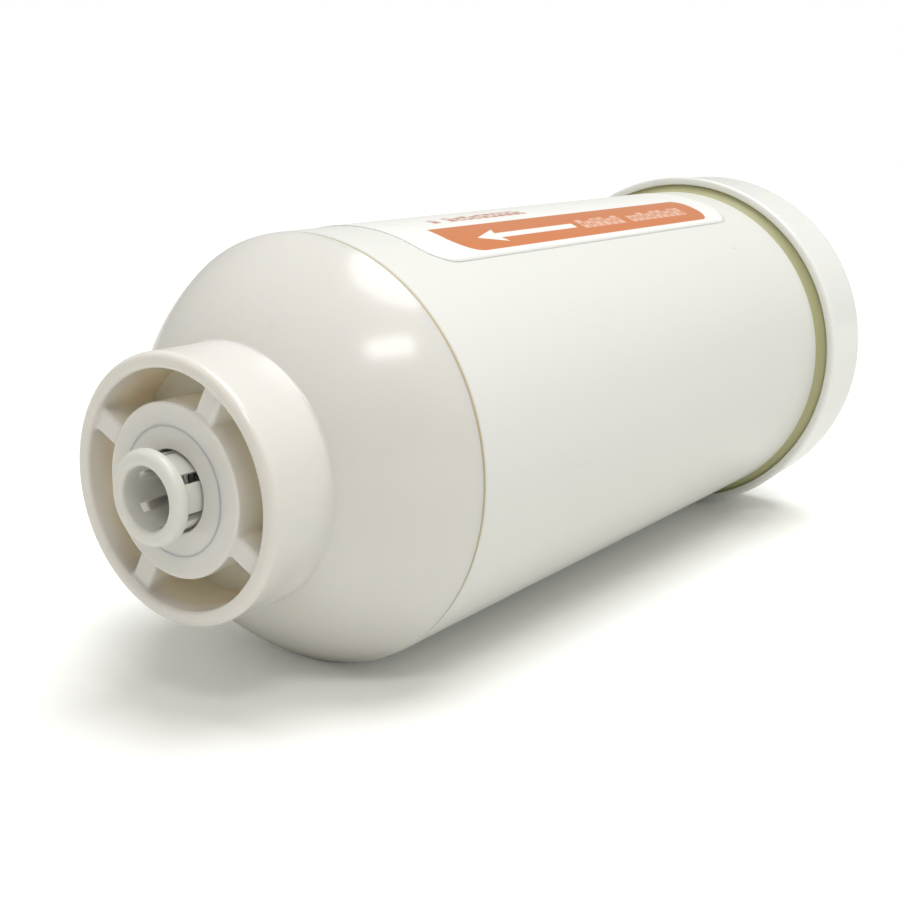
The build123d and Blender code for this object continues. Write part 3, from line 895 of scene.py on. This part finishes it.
for mask, colour in layers:
    ink = mix_colours(tree, mask, ink, colour)
    covered = maths(tree, "MAXIMUM", covered, mask)
fibre = use_group(
    tree,
    moulded,
    {
        "Colour": ink,
        "Patch Colour": ink,
        "Grain Size": 0.25 * MM,
        "Grain Height": 0.0015 * MM,
        "Roughness": 0.42,
        "Roughness Spread": 0.1,
    },
)
rubbed = use_group(
    tree,
    marks,
    {"Colour": fibre["Colour"], "Roughness": fibre["Roughness"], "Rubs": 0.2, "Speck Share": 0.0},
)
fill(tree, shader["Base Color"], rubbed["Colour"])
fill(tree, shader["Roughness"], maths(tree, "MULTIPLY_ADD", covered, -0.08, rubbed["Roughness"]))
fill(tree, shader["Normal"], fibre["Normal"])
printed_label.data.materials.append(label_finish)
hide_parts("label")
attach(printed_label, "housing")
print("layers of print:", len(layers))

# %% [markdown]
# ## The floor
#
# The filter lies on a plain white table. The inlet cap is larger than the body, so the real one is tipped
# about a degree and a half and touches at the cap's lip and at the body's shoulder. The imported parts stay
# level, so the floor is tipped instead, to touch the same two places.
#
# A studio table is lit until it is pure white, which would throw too much light back up at a white object.
# So the table is a little brighter where the camera sees it directly than it is to the light that bounces
# off it.

# %% Floor
cap_low, cap_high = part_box("inlet_end_cap")
LIP_X = cap_low.x + 2 * MM
SHOULDER_X = tube_low.x
slope = (cap_high.z - TUBE_R) / (LIP_X - SHOULDER_X)
FLOOR_REACH = 3.0
table = bpy.data.meshes.new("table")
table_corners = []
for x, y in ((-1, -1), (1, -1), (1, 1), (-1, 1)):
    reach = x * FLOOR_REACH
    table_corners.append((reach, y * FLOOR_REACH, -TUBE_R - slope * (reach - SHOULDER_X) - 0.05 * MM))
table.from_pydata(table_corners, [], [(0, 1, 2, 3)])
floor = bpy.data.objects.new("table", table)
bpy.context.scene.collection.objects.link(floor)
floor_finish, tree, shader = start_material("table_white", specular_ior_level=0.2, emission_strength=0.085)
cloud = use_group(
    tree,
    moulded,
    {
        "Colour": (0.96, 0.96, 0.96, 1),
        "Patch Colour": (0.94, 0.94, 0.93, 1),
        "Patch Size": 120 * MM,
        "Grain Size": 1.2 * MM,
        "Roughness": 0.6,
    },
)
is_seen = add(tree, "ShaderNodeLightPath").outputs["Is Camera Ray"]
fill(tree, shader["Base Color"], mix_colours(tree, is_seen, (0.78, 0.78, 0.75, 1), cloud["Colour"]))
fill(tree, shader["Emission Color"], mix_colours(tree, is_seen, (0, 0, 0, 1), (1, 1, 0.94, 1)))
fill(tree, shader["Roughness"], cloud["Roughness"])
floor.data.materials.append(floor_finish)
floor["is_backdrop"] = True
print("floor slope in degrees:", round(slope * 180 / pi, 2))

# %% [markdown]
# ## Light
#
# White plastic on white needs light that is soft but not even. The main light is overhead, a little behind
# and to the right, and as wide as a studio's light box, so that the tops are bright and the shadow is close
# and soft. A sun lamp with a wide angle does this evenly over the whole table. A small window-shaped panel
# gives the one sharp highlight on the dome. The sky is a dim warm grey to everything but the camera, which
# sees it white.

# %% Lights and sky
def panel(name, place, aim, width, height, power, colour=(1, 1, 1)):
    """A rectangular light at a place, turned towards a point."""
    data = bpy.data.lights.new(name, "AREA")
    data.shape = "RECTANGLE"
    data.size, data.size_y = width, height
    data.energy = power
    data.color = colour
    lamp = bpy.data.objects.new(name, data)
    lamp.location = place
    lamp.rotation_euler = (Vector(aim) - Vector(place)).to_track_quat("-Z", "Y").to_euler()
    bpy.context.scene.collection.objects.link(lamp)
    return lamp


overhead_data = bpy.data.lights.new("overhead_light", "SUN")
overhead_data.energy = 2.44
overhead_data.angle = radians(42)
overhead_data.color = (0.985, 0.99, 1.0)
overhead = bpy.data.objects.new("overhead_light", overhead_data)
overhead.rotation_euler = Vector((0.22, -0.12, 0.97)).to_track_quat("Z", "Y").to_euler()
bpy.context.scene.collection.objects.link(overhead)
dome_middle = Vector((-0.0535, -0.0165, 0.0147))
window_way = Vector((-0.377, -0.478, 0.793))
panel("window_panel", dome_middle + window_way * 0.7, dome_middle, 0.26, 0.11, 0.9, (1.0, 0.98, 0.95))

SKY_LIGHT, SKY_SEEN = (0.43, 0.425, 0.385, 1), (1, 1, 1, 1)
sky = bpy.data.worlds.new("sky")
sky.use_nodes = True
tree = sky.node_tree
tree.nodes.clear()
seen = add(tree, "ShaderNodeLightPath").outputs["Is Camera Ray"]
glow = add(tree, "ShaderNodeBackground", {"Color": mix_colours(tree, seen, SKY_LIGHT, SKY_SEEN)})
add(tree, "ShaderNodeOutputWorld", {"Surface": glow.outputs[0]})
bpy.context.scene.world = sky
bpy.context.scene.view_settings.view_transform = "Standard"

# %% [markdown]
# ## The camera
#
# The viewer looks at the outlet end from close by and a little above, so the filter runs away into the
# picture and narrows as it goes. Being this close matters more than the lens: it is what makes the near
# collar look large.

# %% Camera
camera_data = bpy.data.cameras.new("viewer")
camera_data.sensor_width = 36
camera_data.lens = 54.6
camera_data.clip_start = 5 * MM
camera = bpy.data.objects.new("viewer", camera_data)
camera.location = (-0.1629, -0.1037, 0.0386)
camera.rotation_euler = Vector((0.785, 0.569, -0.242)).to_track_quat("-Z", "Y").to_euler()
bpy.context.scene.collection.objects.link(camera)
bpy.context.scene.camera = camera
print("camera distance to the rim:", round((camera.location - Vector((-RIM_X, 0, 0))).length, 3))

# %% [markdown]
# ## Finish
#
# The size of the finished model is measured over everything shown, leaving out the floor.

# %% Measure the finished model
low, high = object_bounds()
